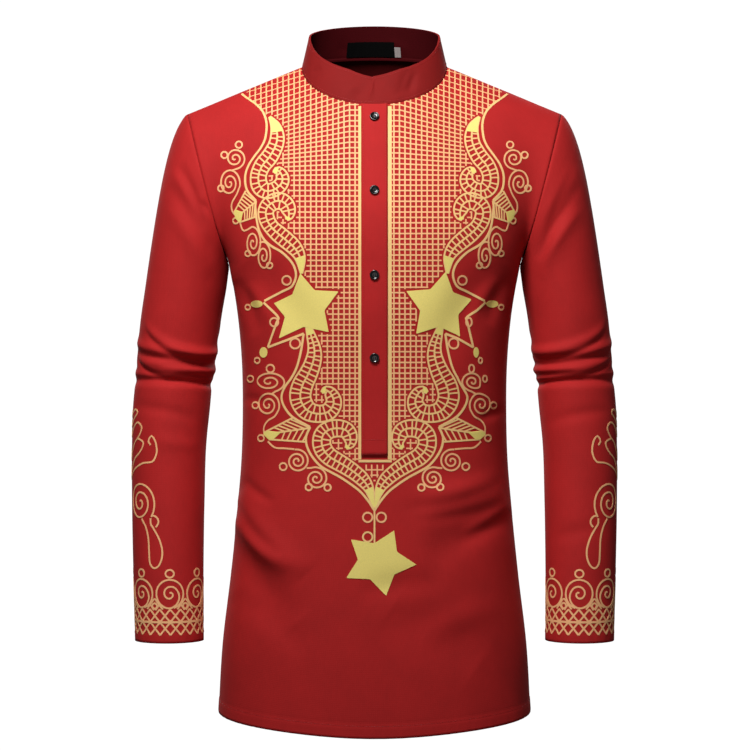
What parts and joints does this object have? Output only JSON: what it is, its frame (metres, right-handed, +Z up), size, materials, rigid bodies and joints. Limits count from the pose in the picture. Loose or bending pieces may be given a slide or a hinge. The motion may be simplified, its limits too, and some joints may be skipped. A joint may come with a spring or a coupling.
{
  "type": "mandarin collar shirt",
  "caption": "Long pullover shirt with a stand collar, buttoned half placket, long sleeves and a printed chest, hollow as worn.",
  "frame": {"origin": "middle of the neck opening, level with the two points where the shoulder seams meet the collar", "axes": "+Z up, the front faces -Y, +X towards the wearer's left sleeve"},
  "size_m": [0.5896, 0.2529, 0.8583],
  "materials": {
    "red_cotton": "matt plain-weave red cotton blend with a faint sheen",
    "yellow_print": "matt pale yellow pigment print on the red cloth",
    "black_button_plastic": "polished black resin button",
    "black_label_weave": "plain black woven label",
    "white_tab_weave": "plain off-white woven tab"
  },
  "bodies": {
    "root": {"front_body": "red_cotton", "back_body": "red_cotton", "sleeve_left": "red_cotton", "sleeve_right": "red_cotton", "collar_band": "red_cotton", "placket_top_strip": "red_cotton", "placket_under_strip": "red_cotton", "button_1": "black_button_plastic", "button_2": "black_button_plastic", "button_3": "black_button_plastic", "button_4": "black_button_plastic", "neck_label": "black_label_weave", "size_tab": "white_tab_weave"}
  },
  "joints": []
}
